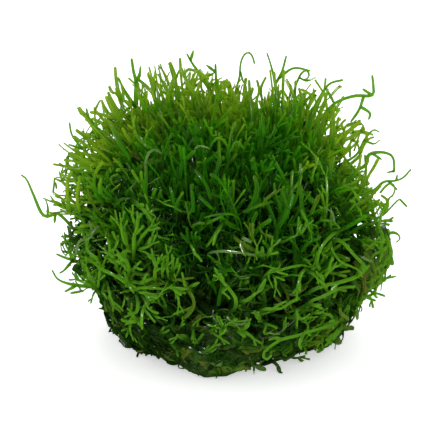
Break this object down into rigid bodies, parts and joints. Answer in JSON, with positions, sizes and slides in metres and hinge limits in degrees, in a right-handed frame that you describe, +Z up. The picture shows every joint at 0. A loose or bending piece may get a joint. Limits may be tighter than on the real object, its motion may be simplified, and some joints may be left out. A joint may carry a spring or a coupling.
{
  "type": "clump of crystalwort",
  "caption": "Ball-shaped tangle of thin forked green ribbons, a floating liverwort lifted out of the water, resting on a small flat spot.",
  "frame": {"origin": "centre of the flat spot that the clump rests on", "axes": "+Z up, +X to the right and -Y towards the viewer, as in the picture"},
  "size_m": [0.093, 0.0832, 0.0691],
  "materials": {
    "tangle": "wet translucent plant tissue, deep green in the hollows and bright yellow-green at the tips",
    "thallus": "wet translucent plant tissue, bright yellow-green",
    "thread": "clear pale monofilament"
  },
  "bodies": {
    "root": {"cushion": "tangle", "thallus_back_left": "thallus", "thallus_back_long": "thallus", "thallus_crown_arch": "thallus", "thallus_crown_blade": "thallus", "thallus_crown_cross": "thallus", "thallus_crown_curl": "thallus", "thallus_crown_fork": "thallus", "thallus_crown_left": "thallus", "thallus_crown_slant": "thallus", "thallus_front_hang": "thallus", "thallus_front_low": "thallus", "thallus_front_upright": "thallus", "thallus_left_crest": "thallus", "thallus_left_fan": "thallus", "thallus_left_low": "thallus", "thallus_left_shoulder": "thallus", "thallus_left_stray": "thallus", "thallus_right_arrow": "thallus", "thallus_right_bow": "thallus", "thallus_right_curl": "thallus", "thallus_right_hook": "thallus", "thallus_right_lattice": "thallus", "thallus_right_reach": "thallus", "thallus_right_stray": "thallus", "thread": "thread"}
  },
  "joints": []
}
